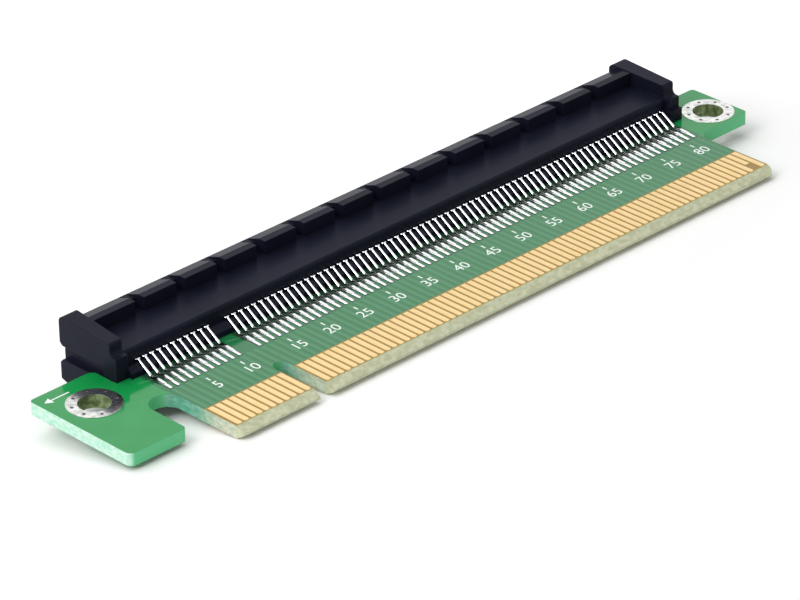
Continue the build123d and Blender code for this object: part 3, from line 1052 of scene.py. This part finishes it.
def barrel_mesh():
    """The plated wall of a hole, with a disc closing each of the eight small holes round it, for the
    painted shade inside them.
    """
    vertices, faces = [], []
    face_z = board_top + copper
    section = [(hole_radius, -1), (ring_inner, -1), (ring_inner, 1), (hole_radius, 1)]
    for i in range(barrel_corners):
        vertices += [on_circle(radius, i, barrel_corners, up * face_z) for radius, up in section]
        after = (i + 1) % barrel_corners
        for j in range(4):
            k = (j + 1) % 4
            faces.append((4 * i + j, 4 * i + k, 4 * after + k, 4 * after + j))

    # Each small hole is closed by a disc, painted dark by the ring finish as painted shade.
    shade_disc_z = board_top + copper * 0.3
    corners = small_holes["corners"]
    for hole in range(small_holes["count"]):
        centre = on_circle(small_holes["circle"], hole + 0.5, small_holes["count"], 0.0)
        first = len(vertices)
        for z in (-shade_disc_z, shade_disc_z):
            vertices += [centre + on_circle(small_holes["radius"], i, corners, z) for i in range(corners)]
        faces.append(tuple(range(first, first + corners)))
        faces.append(tuple(range(first + corners, first + 2 * corners)))
        for i in range(corners):
            after = (i + 1) % corners
            faces.append((first + i, first + after, first + corners + after, first + corners + i))
    return closed_mesh("barrel", vertices, faces, False)


for node_name in hole_names:
    low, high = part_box(node_name)
    side = node_name.removeprefix("mounting_ring_")
    piece = bpy.data.objects.new(f"plated_hole_{side}", barrel_mesh())
    plain_mesh(piece, ring_tree, ring_sockets, {"Finish": ring_paint.material})
    centre = (low + high) / 2
    piece.data.transform(Matrix.Translation((centre.x, centre.y, 0.0)))
    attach(piece, "root")
    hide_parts(node_name)
    print(piece.name, "triangles:", sum(len(face.vertices) - 2 for face in piece.data.polygons))

# %% [markdown]
# ## White print
# The print stands for the usual aids on a card: an arrow that shows which way it goes in, and the
# pin numbers, every fifth one, with a short mark at each. Ink is screened on a few hundredths of a
# millimetre thick. The digits are text turned into mesh before it is moved to its place.

# %% Pin numbers and marks
ink = 0.02
digit_height = 1.5
text_size = digit_height * 1.35
number_line_y = 8.35
mark_width, mark_length = 0.16, 0.7
mark_front = number_line_y + digit_height + 0.35
numbered_every = 5


def ink_finish():
    """White ink, a little worn."""
    paint = Finish("white_ink", Roughness=0.5)
    wear = paint.noise(2.0, 4.0)
    worn = wear.step(0.55, 0.8) * 0.3
    paint.set("Base Color", paint.mix(worn, colour(244, 250, 246), colour(196, 224, 208)))
    return paint


ink_paint = ink_finish()


def add_print(name, mesh):
    """Give a mesh the ink and let it ride on the card."""
    mesh.materials.clear()
    mesh.materials.append(ink_paint.material)
    piece = bpy.data.objects.new(name, mesh)
    bpy.context.scene.collection.objects.link(piece)
    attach(piece, "root")


def number_mesh(words, x, y):
    """Digits as a thin mesh, centred on x, with their foot on y."""
    letters = bpy.data.curves.new("digits", "FONT")
    letters.body = words
    letters.size = text_size * mm
    letters.align_x = "CENTER"
    letters.extrude = ink / 2 * mm
    letters.resolution_u = 3
    stand_in = bpy.data.objects.new("digits", letters)
    mesh = bpy.data.meshes.new_from_object(stand_in)
    mesh.transform(Matrix.Translation(Vector((x, y, board_top)) * mm))
    bpy.data.objects.remove(stand_in)
    return mesh


def pin_place(number):
    """Place of a pin along x, by its number."""
    if number <= rows["short"]:
        return first_pin["short"] + (number - 1) * pin_pitch
    return first_pin["long"] + (number - rows["short"] - 1) * pin_pitch


numbered = range(numbered_every, rows["short"] + rows["long"] + 1, numbered_every)
for number in numbered:
    add_print(f"pin_number_{number}", number_mesh(str(number), pin_place(number), number_line_y))
mark_corners = ((-1, 0), (1, 0), (1, 1), (-1, 1))
mark = prism("mark", [(across * mark_width / 2, mark_front + along * mark_length, board_top)
                      for across, along in mark_corners], (0, 0, 1), ink)
numbered_in = {
    "short": [number for number in numbered if number <= rows["short"]],
    "long": [number for number in numbered if number > rows["short"]],
}
for row, numbers in numbered_in.items():
    marks = lay_row("pin_marks", mark.copy(), "top", row, ink_paint, pin_place(numbers[0]),
                    Pitch=numbered_every * pin_pitch * mm, count=len(numbers))
    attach(marks, "root")

# %% Arrow on the left tab
arrow_y = 19.2
arrow_tip, arrow_tail = board_low.x + 0.75, board_low.x + 4.2
arrow_line, arrow_head = 0.09, 0.55
arrow_barb = arrow_tip + arrow_head * 1.7
arrow = [
    (arrow_tip, arrow_y),
    (arrow_barb, arrow_y - arrow_head),
    (arrow_barb, arrow_y - arrow_line),
    (arrow_tail, arrow_y - arrow_line),
    (arrow_tail, arrow_y + arrow_line),
    (arrow_barb, arrow_y + arrow_line),
    (arrow_barb, arrow_y + arrow_head),
]
add_print("arrow", prism("arrow", [(x, y, board_top) for x, y in arrow], (0, 0, 1), ink))
print("arrow from x", round(arrow_tip, 2), "to", round(arrow_tail, 2))
